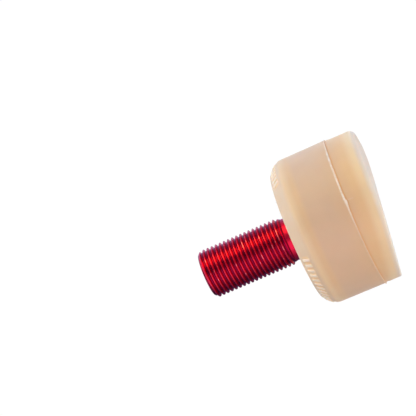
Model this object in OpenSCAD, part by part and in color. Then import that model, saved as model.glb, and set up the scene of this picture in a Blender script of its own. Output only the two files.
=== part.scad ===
// Roller skate toe stop: a moulded rubber block on a threaded stem.
// The stem stands on +Z, the unraked front plane of the rubber is z = 0, and the rubber is thickest at +X.

/* [Rubber block] */
// Diameter of the block just behind the mould line
block_d = 48.2; // [42:0.1:56]
// Height from the front plane to the rear face
block_h = 29.2; // [26:0.1:36]
// Height of the mould line above the front plane
mould_line_h = 9.4; // [7:0.1:14]
// How far the front half of the mould sits inside the rear half
mould_step = 0.2; // [0.05:0.05:0.6]
// Loss of radius from the mould line to the rear bevel
rear_draft = 0.1; // [0:0.05:0.5]
// Radius of the front edge before the face is raked
front_round = 2; // [0.5:0.1:3]
// Width of the rear bevel, measured across the axis
bevel_w = 3.3; // [2:0.1:5]
// Height of the rear bevel, measured along the axis
bevel_h = 3.7; // [2:0.1:5]
// Radius that blends the bevel into the side wall
bevel_round = 2.5; // [0.5:0.1:3]
// Radius of the rim between the bevel and the rear face
rim_round = 0.6; // [0.2:0.1:1.2]

/* [Raked face] */
// Angle between the raked face and the front plane
rake_angle = 7.5; // [3:0.5:10]
// Distance from the axis to the corner of the two planes
rake_start = 8; // [5:0.5:11]
// Length on each plane that the blend between them takes
rake_blend = 8; // [2:0.5:9]

/* [Flash] */
// Width of the flash left along the mould line
flash_w = 0.5; // [0.3:0.05:1]
// How far the flash stands out of the rear half
flash_proud = 0.15; // [0.05:0.05:0.4]

/* [Bevel ribs] */
// Ribs in each of the two rows
rib_count = 23; // [5:1:24]
// Angle from one rib to the next
rib_step = 5; // [4:0.25:7.25]
// Angle from +X to the middle of the first row
rib_turn = 36; // [0:1:90]
// Width of a rib
rib_w = 0.9; // [0.5:0.1:1.3]
// Length of a rib up the bevel
rib_l = 2.6; // [1.5:0.1:3]
// How far a rib stands out of the bevel
rib_proud = 0.4; // [0.2:0.05:0.8]

/* [Stem] */
// Length of the stem outside the rubber
stem_out = 31; // [18:0.5:45]
// Diameter over the thread crests
thread_d = 15.7; // [14:0.05:18]
// Threads in 25.4 mm
threads_per_inch = 18; // [14:1:20]
// Depth of the thread from crest to root
thread_depth = 0.78; // [0.5:0.01:0.85]
// Flat at the bottom of the thread groove
root_flat = 0.24; // [0.1:0.01:0.3]
// Width of the relief groove between the thread and the rubber
relief_w = 2.8; // [1:0.1:6]
// How far the relief groove lies below the thread roots
relief_below_root = 0.12; // [0.05:0.01:0.5]
// Length of the cone on which the thread runs out into the relief groove
run_out = 1.6; // [0.5:0.1:3]
// Chamfer at the tip
tip_chamfer = 1; // [0.5:0.1:1.5]

/* [Anchor] */
// Diameter of the plate inside the rubber
plate_d = 36; // [32:0.5:40]
// Thickness of the plate
plate_t = 2.5; // [1.5:0.1:4]
// Height of the plate's underside above the front plane
plate_h = 18.5; // [16:0.5:20]
// Holes in the plate that the rubber fills
key_hole_count = 6; // [3:1:8]
// Diameter of those holes
key_hole_d = 5.5; // [3:0.1:6.5]
// Shoulder of the shank that bears on the plate
shoulder_w = 1; // [0.5:0.1:2]
// How far the peened head reaches past the spigot's corners
head_lip = 1.5; // [0.5:0.1:2.5]
// Thickness of the peened head
head_t = 1.8; // [1:0.1:3]

/* [Hidden] */
$fn = 96;
thread_pitch = 25.4 / threads_per_inch;
flank_slope = tan(30);
rear_r = block_d / 2;
front_r = rear_r - mould_step;
bevel_z = block_h - bevel_h;
bevel_r = rear_r - rear_draft;
rim_r = bevel_r - bevel_w;
bevel_angle = atan2(bevel_h, bevel_w);
draft_angle = atan2(rear_draft, bevel_z - mould_line_h);
bevel_tangent = bevel_round * tan((90 - bevel_angle - draft_angle) / 2);
rim_tangent = rim_round * tan(bevel_angle / 2);
rake_blend_r = rake_blend / tan(rake_angle / 2);
stem_top = block_h + stem_out;
thread_z = block_h + relief_w;
crest_r = thread_d / 2;
root_r = crest_r - thread_depth;
shank_r = root_r - relief_below_root;
spigot_r = shank_r - shoulder_w;
head_r = spigot_r + head_lip;
key_circle_r = (head_r + plate_d / 2) / 2;
arc_steps = 6;
turn_steps = 24;
// Room by which a cut runs past the surface it cuts
over = 1;
// How far the thread cutter's outer edge clears the crests, short of its own next turn
cutter_over = 0.15;

// Points on an arc about c, both ends included
function arc(c, r, from, to) = [
    for (i = [0 : arc_steps])
        let (a = from + (to - from) * i / arc_steps)
            c + r * [cos(a), sin(a)]
];

// Centre of the arc that blends the side wall into the bevel
function bevel_centre() =
    [bevel_r, bevel_z]
    + bevel_tangent * [sin(draft_angle), -cos(draft_angle)]
    - bevel_round * [cos(draft_angle), sin(draft_angle)];

// Half of the block's section: radius, height
module block_section() {
    polygon(concat(
        [[0, 0]],
        arc([front_r - front_round, front_round], front_round, -90, 0),
        [
            [front_r, mould_line_h - flash_w / 2],
            [rear_r + flash_proud, mould_line_h],
            [rear_r, mould_line_h + flash_w / 2]
        ],
        arc(bevel_centre(), bevel_round, draft_angle, 90 - bevel_angle),
        arc([rim_r - rim_tangent, block_h - rim_round], rim_round, 90 - bevel_angle, 90),
        [[0, block_h]]
    ));
}

// What the rake takes off, seen along Y: both planes, with the blend between them left standing
module rake_section() {
    reach = block_d;
    difference() {
        polygon([
            [reach, -over],
            [reach, 0],
            [rake_start + rake_blend, 0],
            [rake_start - rake_blend * cos(rake_angle), rake_blend * sin(rake_angle)],
            [-reach, (rake_start + reach) * tan(rake_angle)],
            [-reach, -over]
        ]);
        translate([rake_start + rake_blend, rake_blend_r])
            circle(r = rake_blend_r, $fn = 360);
    }
}

// One plain rib that lies up the bevel
module bevel_rib() {
    translate([(bevel_r + rim_r) / 2, 0, (bevel_z + block_h) / 2])
        rotate([0, bevel_angle, 0])
            translate([-rib_l / 2, -rib_w / 2, -over])
                cube([rib_l, rib_w, over + rib_proud]);
}

// Two rows of ribs on opposite sides of the bevel
module bevel_ribs() {
    for (row = [0, 180], i = [0 : rib_count - 1])
        rotate([0, 0, rib_turn + row + (i - (rib_count - 1) / 2) * rib_step])
            bevel_rib();
}

// Plate with its hexagon hole and the holes that the rubber fills
module plate_form() {
    difference() {
        translate([0, 0, plate_h])
            cylinder(d = plate_d, h = plate_t);
        translate([0, 0, plate_h - over])
            cylinder(r = spigot_r, h = plate_t + 2 * over, $fn = 6);
        for (i = [0 : key_hole_count - 1])
            rotate([0, 0, i * 360 / key_hole_count])
                translate([key_circle_r, 0, plate_h - over])
                    cylinder(d = key_hole_d, h = plate_t + 2 * over);
    }
}

// Peened head and hexagon spigot, which hold the stem in the plate
module stem_foot() {
    translate([0, 0, plate_h - head_t])
        cylinder(r1 = spigot_r, r2 = head_r, h = head_t);
    translate([0, 0, plate_h])
        cylinder(r = spigot_r, h = plate_t, $fn = 6);
}

// Half of the turned bar's section above the plate: radius, height
module bar_section() {
    polygon([
        [0, plate_h + plate_t],
        [shank_r, plate_h + plate_t],
        [shank_r, thread_z],
        [crest_r, thread_z + run_out],
        [crest_r, stem_top - tip_chamfer],
        [crest_r - tip_chamfer, stem_top],
        [0, stem_top]
    ]);
}

// A quad of ring points, as two triangles
function quad(a, b, c, d) = [[a, b, c], [a, c, d]];

// Groove between the thread crests, swept along the helix as one closed form
module thread_groove() {
    outer_r = crest_r + cutter_over;
    root_half = root_flat / 2;
    outer_half = root_half + (outer_r - root_r) * flank_slope;
    section = [[root_r, -root_half], [outer_r, -outer_half], [outer_r, outer_half], [root_r, root_half]];
    from_z = thread_z - thread_pitch;
    steps = ceil((stem_top + thread_pitch - from_z) / thread_pitch * turn_steps);
    points = [
        for (i = [0 : steps], p = section)
            [
                p[0] * cos(i * 360 / turn_steps),
                p[0] * sin(i * 360 / turn_steps),
                from_z + i * thread_pitch / turn_steps + p[1]
            ]
    ];
    sides = [
        for (i = [0 : steps - 1], k = [0 : 3])
            each quad(4 * i + k, 4 * i + (k + 1) % 4, 4 * i + 4 + (k + 1) % 4, 4 * i + 4 + k)
    ];
    last = 4 * steps;
    polyhedron(points, concat(sides, quad(3, 2, 1, 0), quad(last, last + 1, last + 2, last + 3)));
}

module rubber_stopper() {
    color("BurlyWood")
        difference() {
            union() {
                rotate_extrude()
                    block_section();
                bevel_ribs();
            }
            translate([0, block_d, 0])
                rotate([90, 0, 0])
                    linear_extrude(2 * block_d)
                        rake_section();
            plate_form();
            stem_foot();
            translate([0, 0, plate_h + plate_t])
                cylinder(r = shank_r, h = block_h);
        }
}

module threaded_stem() {
    color("Crimson") {
        stem_foot();
        difference() {
            rotate_extrude()
                bar_section();
            thread_groove();
        }
    }
}

module anchor_plate() {
    color("Silver")
        plate_form();
}

rubber_stopper();
threaded_stem();
anchor_plate();
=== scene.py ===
import math
import bmesh
import bpy
from mathutils import Matrix, Vector, noise


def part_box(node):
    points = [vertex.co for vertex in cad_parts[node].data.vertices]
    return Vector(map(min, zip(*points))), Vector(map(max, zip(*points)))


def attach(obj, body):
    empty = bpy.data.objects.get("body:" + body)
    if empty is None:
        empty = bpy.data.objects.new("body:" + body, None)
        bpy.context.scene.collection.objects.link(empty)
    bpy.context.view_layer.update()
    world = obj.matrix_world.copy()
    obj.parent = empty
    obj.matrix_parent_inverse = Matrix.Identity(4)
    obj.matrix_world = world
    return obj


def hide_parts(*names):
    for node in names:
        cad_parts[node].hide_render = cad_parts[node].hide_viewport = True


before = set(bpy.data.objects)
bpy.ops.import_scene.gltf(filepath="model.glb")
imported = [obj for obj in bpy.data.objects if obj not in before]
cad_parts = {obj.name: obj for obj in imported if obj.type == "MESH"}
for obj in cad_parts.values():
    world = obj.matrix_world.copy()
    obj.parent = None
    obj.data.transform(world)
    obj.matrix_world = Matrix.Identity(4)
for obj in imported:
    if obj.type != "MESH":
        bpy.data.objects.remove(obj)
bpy.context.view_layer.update()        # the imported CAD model, which nothing here moves
mm = 0.001               # the dictionaries give millimetres and degrees, unless a note says otherwise
fullTurn = 2 * math.pi
mergeGap = 0.002 * mm    # points nearer than this become one
cutGap = 0.000002 * mm   # points nearer than this to a cut lie on it
ringGap = 0.02           # how far a point may lie from the ring it belongs to
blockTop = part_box("rubber_stopper")[1].z / mm
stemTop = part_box("threaded_stem")[1].z / mm
print("frame loaded:", sorted(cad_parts))


# Mesh helpers

def clamped(value):
    return max(0.0, min(1.0, value))


def radiusOf(vert):
    return math.hypot(vert.co.x, vert.co.y)


def angleOf(vert):
    return math.degrees(math.atan2(vert.co.y, vert.co.x))


def setRadius(vert, radius):
    scale = radius / max(radiusOf(vert), mergeGap)
    vert.co.x *= scale
    vert.co.y *= scale


def outwards(turn, rise):
    # a direction: turn goes round the stem from +X, rise goes towards the stem's tip
    turn, rise = math.radians(turn), math.radians(rise)
    return Vector((math.cos(turn) * math.cos(rise), math.sin(turn) * math.cos(rise), math.sin(rise)))


def latheForm(profile, steps):
    # profile: (radius, height) pairs, spun round the stem's axis
    form = bmesh.new()
    ring = [form.verts.new((r * mm, 0, z * mm)) for r, z in profile]
    chain = [form.edges.new(pair) for pair in zip(ring, ring[1:])]
    bmesh.ops.spin(form, geom=ring + chain, cent=(0, 0, 0), axis=(0, 0, 1), dvec=(0, 0, 0),
                   angle=fullTurn, steps=steps, use_merge=True)
    bmesh.ops.remove_doubles(form, verts=form.verts, dist=mergeGap)
    return form


def ringEdges(form, radius, height):
    # the edges that run round the axis at one radius and height
    def onRing(vert):
        aside = abs(radiusOf(vert) - radius * mm)
        above = abs(vert.co.z - height * mm)
        return max(aside, above) < ringGap * mm
    return [edge for edge in form.edges if all(onRing(vert) for vert in edge.verts)]


def tallEdges(form, lowRadius, highRadius, tall):
    # the edges between two radii that rise by more than tall
    def between(vert):
        return lowRadius * mm < radiusOf(vert) < highRadius * mm
    return [edge for edge in form.edges if all(between(vert) for vert in edge.verts)
            and abs(edge.verts[0].co.z - edge.verts[1].co.z) > tall * mm]


def roundRing(form, radius, height, width, segments):
    bmesh.ops.bevel(form, geom=ringEdges(form, radius, height), offset=width * mm, offset_type="OFFSET",
                    segments=segments, profile=0.5, affect="EDGES", material=-1, clamp_overlap=True)


def everything(form):
    return form.verts[:] + form.edges[:] + form.faces[:]


def lift(form, geometry, height):
    verts = [item for item in geometry if isinstance(item, bmesh.types.BMVert)]
    bmesh.ops.translate(form, vec=(0, 0, height * mm), verts=verts)


def turnOutwards(form):
    # a fine thread can mislead the recalculation, so each closed shell is tested by the sign of its volume
    bmesh.ops.recalc_face_normals(form, faces=form.faces)
    form.normal_update()
    left = set(form.faces)
    while left:
        shell = [left.pop()]
        for face in shell:
            beside = {other for edge in face.edges for other in edge.link_faces} & left
            left -= beside
            shell += beside
        if sum(face.calc_center_median().dot(face.normal) * face.calc_area() for face in shell) < 0:
            bmesh.ops.reverse_faces(form, faces=shell)


def meshFrom(form, name):
    mesh = bpy.data.meshes.new(name)
    form.to_mesh(mesh)
    form.free()
    return mesh


def addObject(name, data):
    thing = bpy.data.objects.new(name, data)
    bpy.context.collection.objects.link(thing)
    return thing


def makePiece(name, form, material, sharpAngle):
    bmesh.ops.remove_doubles(form, verts=form.verts, dist=mergeGap)
    bmesh.ops.dissolve_degenerate(form, edges=form.edges, dist=mergeGap / 2)
    turnOutwards(form)
    mesh = meshFrom(form, name)
    mesh.shade_smooth()
    mesh.set_sharp_from_angle(angle=math.radians(sharpAngle))
    mesh.materials.append(material)
    piece = addObject(name, mesh)
    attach(piece, "root")
    return piece


def addMarks(mesh, names):
    # one number per point for each name, made first and then fetched
    for name in names:
        mesh.attributes.new(name, "FLOAT", "POINT")
    return [mesh.attributes[name].data for name in names]


# Node helpers

def newMaterial(name):
    material = bpy.data.materials.new(name)
    material.use_nodes = True
    tree = material.node_tree
    return material, tree, tree.nodes["Principled BSDF"]


def setSockets(shader, values):
    for name, value in values.items():
        shader.inputs[name].default_value = value


def addNode(tree, kind, inputs=None, **settings):
    node = tree.nodes.new(kind)
    for key, value in settings.items():
        setattr(node, key, value)
    for key, value in (inputs or {}).items():
        if isinstance(value, bpy.types.NodeSocket):
            tree.links.new(value, node.inputs[key])
        else:
            node.inputs[key].default_value = value
    return node


def attributeNode(tree, name):
    return addNode(tree, "ShaderNodeAttribute", attribute_name=name).outputs["Fac"]


def placeNode(tree, kind="Object"):
    return addNode(tree, "ShaderNodeTexCoord").outputs[kind]


def mathNode(tree, operation, first, second=0.0):
    return addNode(tree, "ShaderNodeMath", {0: first, 1: second}, operation=operation).outputs[0]


def rangeNode(tree, value, fromSpan, toSpan, interpolation="LINEAR"):
    spans = {"From Min": fromSpan[0], "From Max": fromSpan[1], "To Min": toSpan[0], "To Max": toSpan[1]}
    node = addNode(tree, "ShaderNodeMapRange", {"Value": value, **spans}, interpolation_type=interpolation)
    return node.outputs["Result"]


def rampNode(tree, factor, stops, interpolation="LINEAR"):
    # stops: position and linear colour
    node = addNode(tree, "ShaderNodeValToRGB", {"Fac": factor})
    ramp = node.color_ramp
    ramp.interpolation = interpolation
    while len(ramp.elements) < len(stops):
        ramp.elements.new(0.5)
    for element, (position, colour) in zip(ramp.elements, stops):
        element.position = position
        element.color = (*colour, 1)
    return node.outputs["Color"]


def mixColour(tree, factor, first, second, blend="MIX"):
    node = addNode(tree, "ShaderNodeMix", data_type="RGBA", blend_type=blend)
    for key, value in (("Factor", factor), (6, first), (7, second)):    # 6 and 7 are the colours A and B
        if isinstance(value, bpy.types.NodeSocket):
            tree.links.new(value, node.inputs[key])
        else:
            node.inputs[key].default_value = value if isinstance(value, float) else (*value, 1)
    return node.outputs[2]    # the mixed colour


def srgb(red, green, blue):
    # a colour as it looks on screen, made linear
    def linear(value):
        value /= 255
        return value / 12.92 if value <= 0.04045 else ((value + 0.055) / 1.055) ** 2.4
    return linear(red), linear(green), linear(blue)


def makeGrainGroup():
    # fine and coarse unevenness of a surface, shared by every finish
    group = bpy.data.node_groups.new("surfaceGrain", "ShaderNodeTree")
    for name in ("Fine Scale", "Coarse Scale", "Coarse Share"):
        group.interface.new_socket(name, in_out="INPUT", socket_type="NodeSocketFloat")
    for name in ("Height", "Patches"):
        group.interface.new_socket(name, in_out="OUTPUT", socket_type="NodeSocketFloat")
    start = addNode(group, "NodeGroupInput")
    end = addNode(group, "NodeGroupOutput")
    place = placeNode(group)
    fine = addNode(group, "ShaderNodeTexNoise", {"Vector": place, "Scale": start.outputs["Fine Scale"],
                                                 "Detail": 3.0, "Roughness": 0.6})
    coarse = addNode(group, "ShaderNodeTexNoise", {"Vector": place, "Scale": start.outputs["Coarse Scale"],
                                                   "Detail": 2.0, "Roughness": 0.5})
    share = mathNode(group, "MULTIPLY", coarse.outputs["Fac"], start.outputs["Coarse Share"])
    height = mathNode(group, "ADD", fine.outputs["Fac"], share)
    group.links.new(height, end.inputs["Height"])
    group.links.new(coarse.outputs["Fac"], end.inputs["Patches"])
    return group


grainGroup = makeGrainGroup()


def grainNode(tree, fineScale, coarseScale, coarseShare):
    return addNode(tree, "ShaderNodeGroup", {"Fine Scale": fineScale, "Coarse Scale": coarseScale,
                                             "Coarse Share": coarseShare}, node_tree=grainGroup)


def addBump(tree, shader, height, look):
    bump = addNode(tree, "ShaderNodeBump", {"Height": height, "Strength": look["bump"],
                                            "Distance": look["bumpDepth"] * mm})
    tree.links.new(bump.outputs["Normal"], shader.inputs["Normal"])


# Gum rubber

gumLook = {
    "bandDepth": 10.0,           # depth behind the face that the front band's colours run over
    "front": (                   # share of that depth, from the face's edge to the mould line
        # the band's own orange tone with a painted glow of light through the thin edge, paler and yellower
        # towards the face's edge; the palest stop at the edge is also a painted grazing reflection
        (0.03, srgb(228, 214, 200)),
        (0.2, srgb(237, 210, 170)),
        (0.5, srgb(231, 192, 146)),
        (0.9, srgb(227, 188, 149)),
    ),
    "behindLine": (              # share of the block's height past the mould line
        (0.0, srgb(222, 186, 150)),
        (0.2, srgb(219, 185, 154)),
    ),
    "nearBevel": (               # share of the block's height past the bevel's corner
        (-0.17, srgb(219, 185, 154)),
        (-0.1, srgb(225, 189, 149)),
        # a painted highlight along the bevel's corner
        (-0.03, srgb(230, 201, 164)),
        (0.02, srgb(221, 195, 168)),
    ),
    # painted shade in the crease in front of the flash's step
    "creaseShade": srgb(225, 170, 112),
    # the thin flash's pale rubber, with a painted highlight where it stands proud; a scratch takes the
    # same pale mark
    "flash": srgb(247, 234, 220),
    "onFace": srgb(241, 224, 206),
    "faceFrom": 0.8,             # how squarely a surface looks forwards where the face's colour sets in
    "faceFade": 0.15,
    # painted shade between the ribs, deeper orange in the hollows of the row
    "ribRowShade": srgb(234, 202, 161),
    # paler rib tops, a painted highlight
    "rib": srgb(240, 222, 204),
    "grain": (2200.0, 140.0, 0.6),    # fine scale, coarse scale, share of the coarse
    "patches": ((0.35, (0.97, 0.965, 0.96)), (0.65, (1.0, 1.0, 1.0))),
    "bump": 0.25,
    "bumpDepth": 0.03,
    "roughness": 0.5,
    "specular": 0.38,
    "sheen": 0.3,
    "sheenRoughness": 0.5,
    "scatter": 0.7,
    "scatterRadius": (1.0, 0.75, 0.55),    # shares of scatterScale in red, green and blue
    "scatterScale": 2.5,
}


def makeGumRubber(look, block):
    material, tree, shader = newMaterial("gumRubber")
    front = rampNode(tree, attributeNode(tree, "depth"), look["front"], "EASE")
    line = block["mouldLine"] / blockTop
    corner = 1 - block["bevelHeight"] / blockTop
    stops = [(line + past, tint) for past, tint in look["behindLine"]]
    stops += [(corner + past, tint) for past, tint in look["nearBevel"]]
    rear = rampNode(tree, attributeNode(tree, "height"), stops, "EASE")
    colour = mixColour(tree, attributeNode(tree, "behind"), front, rear)
    # painted shade in the crease and between the ribs, painted highlight on the pale flash and the rib
    # tops, and the face's own colour
    for mark in ("creaseShade", "flash", "onFace", "ribRowShade", "rib"):
        colour = mixColour(tree, attributeNode(tree, mark), colour, look[mark])
    grain = grainNode(tree, *look["grain"])
    patches = rampNode(tree, grain.outputs["Patches"], look["patches"])
    colour = mixColour(tree, 1.0, colour, patches, "MULTIPLY")
    tree.links.new(colour, shader.inputs["Base Color"])
    addBump(tree, shader, grain.outputs["Height"], look)
    setSockets(shader, {
        "Roughness": look["roughness"],
        "Specular IOR Level": look["specular"],
        "Sheen Weight": look["sheen"],
        "Sheen Roughness": look["sheenRoughness"],
        "Subsurface Weight": look["scatter"],
        "Subsurface Radius": look["scatterRadius"],
        "Subsurface Scale": look["scatterScale"] * mm,
    })
    return material


# Rubber block: lathed form, ribs on the bevel, raked face, mould line and a cavity for the metal inside

blockShape = {
    "frontRadius": 23.9,
    "rearRadius": 24.1,
    "bevelRadius": 24.0,
    "rimRadius": 20.7,
    "bevelHeight": 3.7,
    "frontRound": 2.0,
    "frontSegments": 10,
    "bevelRound": 0.95,          # length that the bevel's blend takes on each side
    "bevelSegments": 8,
    "rimRound": 0.27,
    "rimSegments": 4,
    "spinSteps": 576,
    "faceRings": 14,
    "wallRise": 3.0,             # edges of the front wall that rise by more than this are cut
    "wallCuts": 34,
    "sharpAngle": 40.0,
    # raked face
    "rake": 7.5,
    "rakeStart": 8.0,
    "rakeBlend": 8.0,
    "rakedEdge": 0.45,
    "rakeClear": 1.0,            # the rake stays this far in front of the mould line
    # mould line
    "mouldLine": 9.4,
    "wander": ((0.09, 2.1), (0.04, 9.0)),    # waves in the line: size, and how many to a radius
    "frontShift": (-0.11, -0.05),    # the front half of the mould sat a little off
    "shiftFade": 0.5,
    "skinDepth": 3.0,            # points behind the line and deeper than this belong to the cavity
    "creaseShadeWidth": 0.45,         # how far in front of the flash the painted shade under its step reaches
    # flash
    "flashWidth": 0.80,
    "flashProud": 0.14,
    "shoulderProud": 0.8,        # shares of the flash's height and half width at its shoulders
    "shoulderWidth": 0.35,
    "wallRing": 0.6,             # from the flash to the next ring of the wall
    "proudMean": 0.55,           # share of flashProud, and the waves in it
    "proudWaves": ((0.9, 14.0), (0.5, 45.0)),
    "lowPale": 0.5,              # paleness of the painted highlight where the flash isn't proud
    "thickArc": 38.0,            # degrees of thick flash, up to the nick
    "thinOver": 24.0,            # degrees over which it thins out
    "thinShare": 0.55,           # width that is left elsewhere
    "thinPale": 0.3,             # paleness, partly a painted highlight, that is left elsewhere
    "nickAngle": -58.5,
    "nickStep": 0.3,             # the line jumps by this at the nick and comes back over nickFade degrees
    "nickFade": 14.0,
    "nickLength": 3.5,
    "nickSwell": 0.5,
    "scratchWidth": 0.65,        # degrees
    "scratchEnd": -2.6,
    "scratchPale": 0.14,
    "tabAngle": -156.0,          # a small tab of flash, its half width in degrees and its height
    "tabWidth": 2.0,
    "tabProud": 0.25,
    # cavity
    "boreRadius": 6.95,
    "plateRadius": 18.0,
    "plateTop": 21.0,
    "plateUnder": 18.5,
    "spigotRadius": 5.95,
    "headRadius": 7.45,
    "headHeight": 1.8,
}

ribShape = {
    "perRow": 23,
    "step": 5.0,                 # degrees
    "turn": 36.0,
    "width": 0.9,
    "length": 2.6,
    "proud": 0.36,
    "soft": 0.3,                 # width over which a rib's sides rise
    "bevelRise": 2.0,            # edges of the bevel that rise by more than this are cut
    "bevelCuts": 14,
    "bevelGap": 0.1,             # how far a point may lie from the bevel's plane
}


def raiseRibs(form, shape, rib):
    # two rows of plain bars pushed out of the bevel, and the rubber between them, marked for a painted
    # shade
    def risen(distance, half):
        share = clamped((half - distance) / rib["soft"] + 0.5)
        return share * share * (3 - 2 * share)
    for name in ("rib", "ribRowShade"):
        form.verts.layers.float.new(name)
    onRib, onRibRowShade = (form.verts.layers.float[name] for name in ("rib", "ribRowShade"))
    corner = Vector((shape["bevelRadius"], blockTop - shape["bevelHeight"]))
    rim = Vector((shape["rimRadius"], blockTop))
    middle = (corner + rim) / 2
    upBevel = (rim - corner).normalized()
    outward = Vector((upBevel.y, -upBevel.x))
    last = (rib["perRow"] - 1) / 2
    for vert in form.verts:
        place = Vector((radiusOf(vert), vert.co.z)) / mm - middle
        if abs(place.dot(outward)) > rib["bevelGap"] or place.length > rib["length"]:
            continue
        turned = (angleOf(vert) - rib["turn"] + 90) % 180 - 90    # from the middle of the nearer row
        nearest = max(-last, min(last, round(turned / rib["step"])))
        across = math.radians(abs(turned - nearest * rib["step"])) * radiusOf(vert) / mm
        along = abs(place.dot(upBevel))
        inRow = risen(across, math.radians(rib["step"] / 2) * middle.x + rib["soft"])
        # the rib's rise, which also sets its painted highlight
        vert[onRib] = risen(along, rib["length"] / 2) * risen(across, rib["width"] / 2)
        vert[onRibRowShade] = risen(along, rib["length"] / 2) * inRow
        push = outward * rib["proud"] * vert[onRib] * mm
        setRadius(vert, radiusOf(vert) + push.x)
        vert.co.z += push.y


def rakeHeight(shape, x):
    # height of the contact face: flat, blended, raked
    rake = math.radians(shape["rake"])
    blendRadius = shape["rakeBlend"] / math.tan(rake / 2)
    blendEnd = shape["rakeStart"] + shape["rakeBlend"]
    blendTop = shape["rakeStart"] - shape["rakeBlend"] * math.cos(rake)
    if x >= blendEnd:
        return 0.0
    if x <= blendTop:
        return (shape["rakeStart"] - x) * math.tan(rake)
    return blendRadius - math.sqrt(blendRadius ** 2 - (x - blendEnd) ** 2)


def rakeFace(form, shape):
    # lift everything below the contact face onto it, and ease the edge that this leaves
    edge = shape["rakedEdge"]
    for vert in form.verts:
        if vert.co.z / mm > shape["mouldLine"] - shape["rakeClear"]:
            continue
        level = rakeHeight(shape, vert.co.x / mm)
        rise = max(vert.co.z / mm - level, 0.0)
        inset = shape["frontRadius"] - radiusOf(vert) / mm
        if inset < edge and rise < edge:
            reach = math.hypot(edge - inset, edge - rise)
            if reach > edge:
                inset = edge - edge * (edge - inset) / reach
                rise = edge - edge * (edge - rise) / reach
                setRadius(vert, (shape["frontRadius"] - inset) * mm)
        vert.co.z = (level + rise) * mm


def markMouldLine(form, shape):
    # which half of the mould each ring came from, and where the pale flash (partly a painted highlight)
    # and the painted shade in front of it lie, before the line wanders
    half = shape["flashWidth"] / 2
    names = ("behind", "flash", "creaseShade")
    for name in names:
        form.verts.layers.float.new(name)
    behind, flash, creaseShade = (form.verts.layers.float[name] for name in names)
    for vert in form.verts:
        offset = vert.co.z / mm - shape["mouldLine"]
        inFront = offset < -half / 2
        vert[behind] = 1.0 if offset > -half / 2 else 0.0
        # the flash's pale mark, which also carries a painted highlight
        vert[flash] = 1.0 if abs(offset) < half / 2 else 0.0
        # painted shade, strongest just in front of the flash
        vert[creaseShade] = max(0.0, 1 - abs(offset + half) / shape["creaseShadeWidth"]) if inFront else 0.0


def waver(around, waves):
    return sum(size * noise.noise(around * often) for size, often in waves)


def faded(least, share):
    # from 1 down to the least as the share goes from 0 to 1
    return 1 - (1 - least) * share


def roughenFlash(vert, flash, shape, offset, past):
    # offset: behind the mould line; past: degrees past the nick
    around = Vector((vert.co.x, vert.co.y, 0)).normalized()
    wander = waver(around, shape["wander"])
    if 0 < past < shape["nickFade"]:
        wander -= shape["nickStep"] * (1 - past / shape["nickFade"])
    thin = clamped(max(past, -past - shape["thickArc"]) / shape["thinOver"])
    nick = max(0.0, 1 - abs(past - shape["nickLength"] / 2) / shape["nickLength"])
    swell = shape["nickSwell"] * nick
    width = (1 + swell) * faded(shape["thinShare"], thin)
    ease = 1 - abs(offset) / shape["flashWidth"]
    vert.co.z = (shape["mouldLine"] + offset * width + wander * ease) * mm
    if radiusOf(vert) / mm > shape["rearRadius"] + ringGap:
        proud = clamped(shape["proudMean"] + waver(around, shape["proudWaves"]) + swell)
        fromTab = abs(angleOf(vert) - shape["tabAngle"])
        tab = shape["tabProud"] * max(0.0, 1 - fromTab / shape["tabWidth"])
        setRadius(vert, (shape["rearRadius"] + proud * shape["flashProud"] + tab) * mm)
        # the painted highlight on the flash grows with how proud it stands and fades where it thins
        vert[flash] *= faded(shape["lowPale"], 1 - proud) * faded(shape["thinPale"], thin)


def roughenMouldLine(form, shape):
    # uneven flash along a line that wanders, with a nick, a scratch and a tab, and the front half shifted
    flash = form.verts.layers.float["flash"]
    for vert in form.verts:
        offset = vert.co.z / mm - shape["mouldLine"]
        if offset > 0 and radiusOf(vert) / mm < shape["frontRadius"] - shape["skinDepth"]:
            continue
        past = (shape["nickAngle"] - angleOf(vert) + 180) % 360 - 180
        if abs(offset) < shape["flashWidth"]:
            roughenFlash(vert, flash, shape, offset, past)
        elif 0 < past < shape["scratchWidth"] and shape["scratchEnd"] < offset < 0:
            vert[flash] = shape["scratchPale"]
        if offset < -shape["flashWidth"]:
            share = min(1.0, (-offset - shape["flashWidth"]) / shape["shiftFade"])
            vert.co.x += shape["frontShift"][0] * mm * share
            vert.co.y += shape["frontShift"][1] * mm * share


def markRubber(mesh, shape, look):
    # what the rubber's colours follow: depth behind the face, height, and the face itself
    depth, height, onFace = addMarks(mesh, ("depth", "height", "onFace"))
    for index, vert in enumerate(mesh.vertices):
        behind = vert.co.z / mm - rakeHeight(shape, vert.co.x / mm)
        forwards = clamped((-vert.normal.z - look["faceFrom"]) / look["faceFade"])
        depth[index].value = clamped(behind / look["bandDepth"])
        height[index].value = vert.co.z / mm / blockTop
        onFace[index].value = forwards if behind < shape["frontRound"] else 0.0


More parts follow.
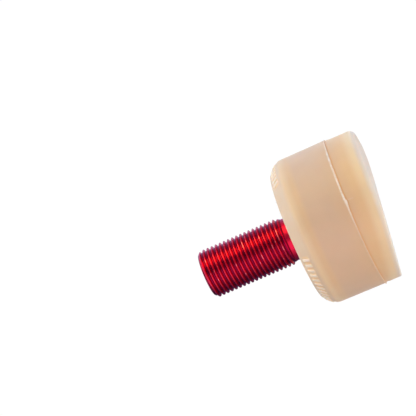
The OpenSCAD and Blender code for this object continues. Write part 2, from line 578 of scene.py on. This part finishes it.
def blockProfile(shape):
    # (radius, height) from the middle of the face, over the wall and down into the cavity
    front, rear, proud = shape["frontRadius"], shape["rearRadius"], shape["flashProud"]
    line = shape["mouldLine"]
    half = shape["flashWidth"] / 2
    shoulder = half * shape["shoulderWidth"]
    shoulderRadius = rear + proud * shape["shoulderProud"]
    face = [(front * i / shape["faceRings"], 0.0) for i in range(shape["faceRings"] + 1)]
    wall = [
        (front, line - half),
        (shoulderRadius, line - shoulder),
        (rear + proud, line),
        (shoulderRadius, line + shoulder),
        (rear, line + half),
        (rear, line + half + shape["wallRing"]),
        (shape["bevelRadius"], blockTop - shape["bevelHeight"]),
        (shape["rimRadius"], blockTop),
        ((shape["rimRadius"] + shape["boreRadius"]) / 2, blockTop),
    ]
    headUnder = shape["plateUnder"] - shape["headHeight"]
    cavity = [
        (shape["boreRadius"], blockTop),
        (shape["boreRadius"], shape["plateTop"]),
        (shape["plateRadius"], shape["plateTop"]),
        (shape["plateRadius"], shape["plateUnder"]),
        (shape["headRadius"], shape["plateUnder"]),
        (shape["spigotRadius"], headUnder),
        (0.0, headUnder),
    ]
    return face + wall + cavity


def makeRubber(shape, rib, look, material):
    front = shape["frontRadius"]
    form = latheForm(blockProfile(shape), shape["spinSteps"])
    roundRing(form, front, 0.0, shape["frontRound"], shape["frontSegments"])
    roundRing(form, shape["bevelRadius"], blockTop - shape["bevelHeight"], shape["bevelRound"],
              shape["bevelSegments"])
    roundRing(form, shape["rimRadius"], blockTop, shape["rimRound"], shape["rimSegments"])
    upright = tallEdges(form, front - ringGap, front + ringGap, shape["wallRise"])
    bmesh.ops.subdivide_edges(form, edges=upright, cuts=shape["wallCuts"], use_grid_fill=True)
    sloped = tallEdges(form, shape["rimRadius"], shape["bevelRadius"], rib["bevelRise"])
    bmesh.ops.subdivide_edges(form, edges=sloped, cuts=rib["bevelCuts"], use_grid_fill=True)
    raiseRibs(form, shape, rib)
    rakeFace(form, shape)
    markMouldLine(form, shape)
    roughenMouldLine(form, shape)
    piece = makePiece("rubberStopper", form, material, shape["sharpAngle"])
    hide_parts("rubber_stopper")
    markRubber(piece.data, shape, look)
    return piece


gumRubber = makeGumRubber(gumLook, blockShape)
rubberStopper = makeRubber(blockShape, ribShape, gumLook, gumRubber)
print("rubber block:", len(rubberStopper.data.polygons), "faces,", 2 * ribShape["perRow"], "ribs")


# Red anodised stem

stemLook = {
    "dyeShadeAndGlint": (                     # share of the way from root to crest
        # dark roots are painted shade in the grooves, the pinker crests a painted glint, the flanks the
        # dye's own red
        (0.05, (0.18, 0.002, 0.03)),
        (0.3, (0.69, 0.004, 0.045)),
        (0.86, (0.69, 0.004, 0.045)),
        (0.97, (0.62, 0.02, 0.06)),
    ),
    "plain": (0.55, 0.010, 0.04),
    # pale worn spots on the crests, also standing in as painted glints
    "wornAndGlint": srgb(240, 130, 140),
    "wornAndGlintFrom": 0.97,            # share of the way to the crest
    "wornAndGlintPatches": 0.63,         # how strong a patch of the grain has to be to show a worn spot, which is also a painted glint
    "wornAndGlintShare": 0.7,
    "grazing": (1.0, 0.85, 1.0),
    "grain": (1600.0, 420.0, 0.4),    # fine scale, coarse scale, share of the coarse
    "patchSpan": (0.3, 0.7),
    "roughness": (0.23, 0.33),   # from weak to strong patches of the grain
    "plainRougher": 0.02,
    "coatFrom": 0.9,             # share of the way to the crest
    "coat": (0.05, 0.4),         # on the flanks and on the crests
    "coatRoughness": 0.2,
    "marks": (60.0, 60.0, 6000.0),    # turning marks: noise drawn out round the axis
    "marksDetail": 2.0,
    "bump": 0.08,
    "bumpDepth": 0.002,
}


def makeRedAnodised(look):
    material, tree, shader = newMaterial("redAnodised")
    crest = attributeNode(tree, "crest")
    plain = attributeNode(tree, "plain")
    grain = grainNode(tree, *look["grain"])
    patches = grain.outputs["Patches"]
    onCrest = mathNode(tree, "GREATER_THAN", crest, look["wornAndGlintFrom"])
    inPatch = mathNode(tree, "GREATER_THAN", patches, look["wornAndGlintPatches"])
    # worn crest spots, partly painted glints
    rubbedAndGlint = mathNode(tree, "MULTIPLY", mathNode(tree, "MULTIPLY", onCrest, inPatch), look["wornAndGlintShare"])
    # the thread's colour carries painted shade in the grooves and painted glints on the crests
    colour = mixColour(tree, rubbedAndGlint, rampNode(tree, crest, look["dyeShadeAndGlint"]), look["wornAndGlint"])
    colour = mixColour(tree, plain, colour, look["plain"])
    tree.links.new(colour, shader.inputs["Base Color"])
    rough = rangeNode(tree, patches, look["patchSpan"], look["roughness"])
    rougher = mathNode(tree, "MULTIPLY", plain, look["plainRougher"])
    tree.links.new(mathNode(tree, "ADD", rough, rougher), shader.inputs["Roughness"])
    coat = rangeNode(tree, crest, (look["coatFrom"], 1.0), look["coat"])
    tree.links.new(coat, shader.inputs["Coat Weight"])
    drawn = addNode(tree, "ShaderNodeMapping", {"Vector": placeNode(tree), "Scale": look["marks"]})
    marks = addNode(tree, "ShaderNodeTexNoise", {"Vector": drawn.outputs["Vector"], "Scale": 1.0,
                                                 "Detail": look["marksDetail"]})
    addBump(tree, shader, marks.outputs["Fac"], look)
    setSockets(shader, {
        "Metallic": 1.0,
        "Specular Tint": (*look["grazing"], 1),
        "Coat Roughness": look["coatRoughness"],
    })
    return material


# Stem: one turn of thread spun and repeated, the shank drawn down from it, hexagon spigot and peened head

stemShape = {
    "crestRadius": 7.85,
    "rootRadius": 7.07,
    "crestFlat": 0.18,
    "flankAngle": 30.0,
    "ease": 0.04,                # how far the rounding of crests and roots reaches
    "pitch": 25.4 / 18,
    "stepsPerTurn": 128,
    "turnsBelow": 1.5,           # turns that start below the thread and are cut off
    "spareTurns": 2,             # turns beyond the thread's own length
    "reliefWidth": 2.8,
    "reliefRadius": blockShape["boreRadius"],
    "reliefRing": 0.1,           # from the thread's end to the first ring below it
    "runOut": 1.6,               # length over which the thread grows out of the relief
    "tipChamfer": 1.0,
    "tipInset": 0.5,
    "plainMargin": 0.05,         # how far the plain finish reaches into the thread at both ends
    "spigotSides": 6,
    "headSides": 64,
    "sharpAngle": 50.0,
}


def threadProfile(shape):
    # one pitch from crest to crest, (radius, height), with eased corners and flat flanks between
    crest, root, ease = shape["crestRadius"], shape["rootRadius"], shape["ease"]
    slope = math.radians(shape["flankAngle"])
    flank = Vector((-math.cos(slope), math.sin(slope)))
    across = Vector((0, 1))
    top = Vector((crest, shape["crestFlat"] / 2))
    foot = top + flank * (root - crest) / flank.x
    half = [Vector((crest, 0))]
    for corner, before, after in ((top, across, flank), (foot, flank, across)):
        half += [corner - before * ease * 2, corner - before * ease, corner + (after - before) * ease / 4,
                 corner + after * ease, corner + after * ease * 2]
    half.append(Vector((root, shape["pitch"] / 2)))
    return half + [Vector((point.x, shape["pitch"] - point.y)) for point in reversed(half[:-1])]


def makeThread(shape, start, end):
    # start and end: heights of the thread
    pitch = shape["pitch"]
    low = start - shape["turnsBelow"] * pitch
    form = bmesh.new()
    chain = [form.verts.new((r * mm, 0, (low + z) * mm)) for r, z in threadProfile(shape)]
    edges = [form.edges.new(pair) for pair in zip(chain, chain[1:])]
    bmesh.ops.spin(form, geom=chain + edges, cent=(0, 0, 0), axis=(0, 0, 1),
                   dvec=(0, 0, pitch * mm / shape["stepsPerTurn"]), angle=fullTurn,
                   steps=shape["stepsPerTurn"], use_merge=False)
    firstTurn = everything(form)
    for turn in range(1, math.ceil((end - start) / pitch) + shape["spareTurns"]):
        copied = bmesh.ops.duplicate(form, geom=firstTurn)["geom"]
        lift(form, copied, turn * pitch)
    bmesh.ops.remove_doubles(form, verts=form.verts, dist=mergeGap)
    for height, side in ((start, -1), (end, 1)):
        bmesh.ops.bisect_plane(form, geom=everything(form), dist=cutGap, plane_co=(0, 0, height * mm),
                               plane_no=(0, 0, side), clear_outer=True)
    # chamfer at the tip and run-out cone at the relief
    cone = (shape["crestRadius"] - shape["reliefRadius"]) / shape["runOut"]
    for vert in form.verts:
        atTip = shape["crestRadius"] - shape["tipChamfer"] + end - vert.co.z / mm
        atRelief = shape["reliefRadius"] + (vert.co.z / mm - start) * cone
        limit = min(atTip, atRelief) * mm
        if radiusOf(vert) > limit:
            setRadius(vert, limit)
    bmesh.ops.remove_doubles(form, verts=form.verts, dist=mergeGap)
    return form


def loopAt(form, height):
    return [edge for edge in form.edges if edge.is_boundary
            and all(abs(vert.co.z - height * mm) < mergeGap for vert in edge.verts)]


def addFoot(form, sides, lowRadius, highRadius, low, high):
    # a closed form on the axis, turned so that a hexagon has a corner on +X, as the plate's hole has
    place = Matrix.Translation((0, 0, (low + high) / 2 * mm)) @ Matrix.Rotation(fullTurn / 4, 4, "Z")
    bmesh.ops.create_cone(form, cap_ends=True, segments=sides, radius1=lowRadius * mm,
                          radius2=highRadius * mm, depth=(high - low) * mm, matrix=place)


def markStem(mesh, shape, start, end):
    # what the stem's colours follow, the dye with its painted groove shade and crest glint: how near the
    # crest, and whether the surface is plain turned
    crest, plain = addMarks(mesh, ("crest", "plain"))
    span = shape["crestRadius"] - shape["rootRadius"]
    for index, vert in enumerate(mesh.vertices):
        height = vert.co.z / mm
        threaded = start + shape["plainMargin"] <= height <= end - shape["plainMargin"]
        crest[index].value = clamped((radiusOf(vert) / mm - shape["rootRadius"]) / span)
        plain[index].value = 0.0 if threaded else 1.0


def makeStem(shape, block, material):
    start = blockTop + shape["reliefWidth"]
    plateTop, plateUnder = block["plateTop"], block["plateUnder"]
    form = makeThread(shape, start, stemTop)
    tipFace = bmesh.ops.edgeloop_fill(form, edges=loopAt(form, stemTop))["faces"]
    if not tipFace:
        raise ValueError("the stem's tip is open")
    bmesh.ops.inset_region(form, faces=tipFace, thickness=shape["tipInset"] * mm, use_even_offset=True)
    # relief groove and shank: the thread's lower edge drawn down to the plate
    ringLevel = start - shape["reliefRing"]
    for level, below in ((start, ringLevel), (ringLevel, plateTop)):
        drawn = bmesh.ops.extrude_edge_only(form, edges=loopAt(form, level))["geom"]
        lift(form, drawn, below - level)
    bmesh.ops.edgeloop_fill(form, edges=loopAt(form, plateTop))
    spigot = block["spigotRadius"]
    addFoot(form, shape["spigotSides"], spigot, spigot, plateUnder, plateTop)
    headUnder = plateUnder - block["headHeight"]
    addFoot(form, shape["headSides"], spigot, block["headRadius"], headUnder, plateUnder)
    piece = makePiece("threadedStem", form, material, shape["sharpAngle"])
    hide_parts("threaded_stem")
    markStem(piece.data, shape, start, stemTop)
    return piece


redAnodised = makeRedAnodised(stemLook)
threadedStem = makeStem(stemShape, blockShape, redAnodised)
print("stem:", len(threadedStem.data.polygons), "faces")


# Anchor plate: the CAD plate inside the rubber, zinc plated

plateLook = {
    "patches": ((0.3, srgb(176, 176, 170)), (0.7, srgb(208, 208, 202))),
    "grain": (900.0, 120.0, 0.8),    # fine scale, coarse scale, share of the coarse
    "roughness": 0.42,
    "bump": 0.3,
    "bumpDepth": 0.02,
}


def makePlatedSteel(look):
    material, tree, shader = newMaterial("platedSteel")
    grain = grainNode(tree, *look["grain"])
    colour = rampNode(tree, grain.outputs["Patches"], look["patches"])
    tree.links.new(colour, shader.inputs["Base Color"])
    addBump(tree, shader, grain.outputs["Height"], look)
    setSockets(shader, {"Metallic": 1.0, "Roughness": look["roughness"]})
    return material


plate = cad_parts["anchor_plate"]
plate.data.materials.clear()
plate.data.materials.append(makePlatedSteel(plateLook))
print("anchor plate finished")


# Camera at the photograph's angle; the part sits in the right half of the picture

shot = {
    "azimuth": 19.26,
    "elevation": -8.05,
    "roll": -113.55,
    "distance": 565.2,
    "aim": (19.4, 2.9, 50.9),
    "lens": 156.6,
    "sensor": 36.0,
}


def makeCamera(setup):
    back = outwards(setup["azimuth"] - 90, setup["elevation"])    # azimuth 0 looks along +Y
    data = bpy.data.cameras.new("camera")
    data.lens = setup["lens"]
    data.sensor_width = setup["sensor"]
    camera = addObject("camera", data)
    place = Matrix.Translation((Vector(setup["aim"]) + back * setup["distance"]) * mm)
    level = (-back).to_track_quat("-Z", "Y").to_matrix().to_4x4()
    roll = Matrix.Rotation(math.radians(setup["roll"]), 4, "Z")
    camera.matrix_world = place @ level @ roll
    bpy.context.scene.camera = camera


makeCamera(shot)
print("camera placed")


# Studio: pale floor under the contact face, soft lamps, cards for the metal to mirror, white surround

studio = {                       # metres and degrees
    "floorSize": 3.0,
    "floor": srgb(236, 236, 236),
    "floorRoughness": 0.9,
    "floorFades": (0.1, 0.5),    # from plain floor to the white surround
    "white": (1.02, 1.02, 1.02),
    "towardsTop": (0.85, 0.36, -0.40),   # from where the surround's light is stronger
    "above": (0.395, 0.40, 0.396),
    "below": (0.308, 0.297, 0.297),
    "centre": (0.0, 0.0, 0.035),
    # turn: round the stem from +X; rise: towards the stem's tip; power in watts
    "lamps": (
        {"name": "keyLamp", "turn": -18, "rise": 11, "away": 0.9, "size": 0.40, "power": 1.95,
         "colour": (0.97, 1.0, 1.05)},
        {"name": "rearLamp", "turn": 15, "rise": 45, "away": 0.8, "size": 0.5, "power": 4.4,
         "colour": (0.92, 1.0, 1.07)},
        {"name": "fillLamp", "turn": -116, "rise": 0, "away": 0.8, "size": 0.5, "power": 3.1,
         "colour": (1.06, 0.975, 0.88)},
        {"name": "faceLamp", "turn": -60, "rise": -90, "away": 0.8, "size": 0.5, "power": 3.6,
         "colour": (0.99, 1.0, 1.02)},
        {"name": "farLamp", "turn": 118, "rise": 10, "away": 0.8, "size": 0.6, "power": 3.6,
         "colour": (1.0, 1.0, 1.0)},
    ),
    # seen in reflections only: what the metal mirrors besides the white surround
    "cardReach": 0.7,            # how far a card reaches from the centre both ways along the stem
    "cards": (
        {"name": "hotCard", "turn": -6, "away": 0.9, "width": 0.54, "colour": (4.0, 2.7, 1.2),
         "reachUp": 3.7},        # this one reaches further past the tip
        {"name": "frontCard", "turn": -52, "away": 0.8, "width": 0.54, "colour": (0.40, 0.28, 0.5)},
        {"name": "whiteCard", "turn": -99, "away": 0.8, "width": 0.74, "colour": (1.75, 1.35, 1.75)},
        {"name": "lowerCard", "turn": -164, "away": 0.8, "width": 0.46, "colour": (0.40, 0.3, 0.6)},
        {"name": "lowCard", "turn": -219, "away": 0.5, "width": 0.83, "colour": (0.12, 0.08, 0.20)},
        {"name": "backCard", "turn": 67, "away": 0.8, "width": 0.95, "colour": (0.62, 0.72, 1.05)},
        {"name": "shadeCard", "turn": 24, "away": 0.8, "width": 0.36, "colour": (0.80, 0.40, 0.75)},
    ),
}


def makeFloorPaper(setup):
    material, tree, shader = newMaterial("floorPaper")
    setSockets(shader, {
        "Base Color": (*setup["floor"], 1),
        "Roughness": setup["floorRoughness"],
        "Specular IOR Level": 0.0,
    })
    # seen from above only, and no hindrance to the light that comes from below
    path = addNode(tree, "ShaderNodeLightPath")
    seen = mathNode(tree, "ADD", path.outputs["Is Camera Ray"], path.outputs["Is Transmission Ray"])
    above = mathNode(tree, "SUBTRACT", 1.0, addNode(tree, "ShaderNodeNewGeometry").outputs["Backfacing"])
    away = addNode(tree, "ShaderNodeVectorMath", {0: placeNode(tree)}, operation="LENGTH").outputs["Value"]
    near = rangeNode(tree, away, setup["floorFades"], (1.0, 0.0), "SMOOTHSTEP")
    shown = mathNode(tree, "MULTIPLY", mathNode(tree, "MULTIPLY", seen, above), near)
    clear = addNode(tree, "ShaderNodeBsdfTransparent").outputs["BSDF"]
    mix = addNode(tree, "ShaderNodeMixShader", {0: shown, 1: clear, 2: shader.outputs["BSDF"]})
    tree.links.new(mix.outputs["Shader"], tree.nodes["Material Output"].inputs["Surface"])
    return material


def makeFloor(setup, block):
    form = bmesh.new()
    bmesh.ops.create_grid(form, x_segments=1, y_segments=1, size=setup["floorSize"] / 2)
    tilt = Matrix.Rotation(math.radians(block["rake"]), 4, "Y")
    shift = Matrix.Translation((block["rakeStart"] * mm, 0, 0))
    bmesh.ops.transform(form, matrix=shift @ tilt, verts=form.verts)
    floor = addObject("floor", meshFrom(form, "floor"))
    floor.data.materials.append(makeFloorPaper(setup))


def aimed(setup, turn, rise, away):
    # a matrix at a place round the stem, with -Z towards the part
    out = outwards(turn, rise)
    facing = out.to_track_quat("Z", "Y").to_matrix().to_4x4()
    return Matrix.Translation(Vector(setup["centre"]) + out * away) @ facing


def makeLamps(setup):
    for lamp in setup["lamps"]:
        data = bpy.data.lights.new(lamp["name"], "AREA")
        data.shape = "SQUARE"
        data.size = lamp["size"]
        data.energy = lamp["power"]
        data.color = lamp["colour"]
        thing = addObject(lamp["name"], data)
        thing.matrix_world = aimed(setup, lamp["turn"], lamp["rise"], lamp["away"])
        thing.visible_camera = False
        thing.visible_glossy = False


def makeCards(setup):
    for card in setup["cards"]:
        low, high = -setup["cardReach"], card.get("reachUp", setup["cardReach"])
        form = bmesh.new()
        bmesh.ops.create_grid(form, x_segments=1, y_segments=1, size=0.5)
        bmesh.ops.scale(form, vec=(card["width"], high - low, 1), verts=form.verts)
        shift = Matrix.Translation((0, 0, (low + high) / 2))
        place = shift @ aimed(setup, card["turn"], 0, card["away"])
        bmesh.ops.transform(form, matrix=place, verts=form.verts)
        material, _, shader = newMaterial(card["name"])
        setSockets(shader, {
            "Base Color": (0, 0, 0, 1),
            "Emission Color": (*card["colour"], 1),
            "Emission Strength": 1.0,
            "Specular IOR Level": 0.0,
        })
        thing = addObject(card["name"], meshFrom(form, card["name"]))
        thing.data.materials.append(material)
        thing.visible_camera = False
        thing.visible_diffuse = False
        thing.visible_shadow = False


def makeSurround(setup):
    # white to look at and in reflections; its light falls off from above to below
    world = bpy.data.worlds.new("surround")
    bpy.context.scene.world = world
    world.use_nodes = True
    tree = world.node_tree
    path = addNode(tree, "ShaderNodeLightPath")
    seen = mathNode(tree, "ADD", path.outputs["Is Camera Ray"], path.outputs["Is Glossy Ray"])
    seen = mathNode(tree, "MINIMUM", mathNode(tree, "ADD", seen, path.outputs["Is Transmission Ray"]), 1.0)
    rise = addNode(tree, "ShaderNodeVectorMath", {0: placeNode(tree, "Generated"), 1: setup["towardsTop"]},
                   operation="DOT_PRODUCT").outputs["Value"]
    share = rangeNode(tree, rise, (-1.0, 1.0), (0.0, 1.0))
    light = mixColour(tree, share, setup["below"], setup["above"])
    tree.links.new(mixColour(tree, seen, light, setup["white"]), tree.nodes["Background"].inputs["Color"])


makeFloor(studio, blockShape)
makeLamps(studio)
makeCards(studio)
makeSurround(studio)
bpy.context.scene.view_settings.view_transform = "Standard"
print("studio set")
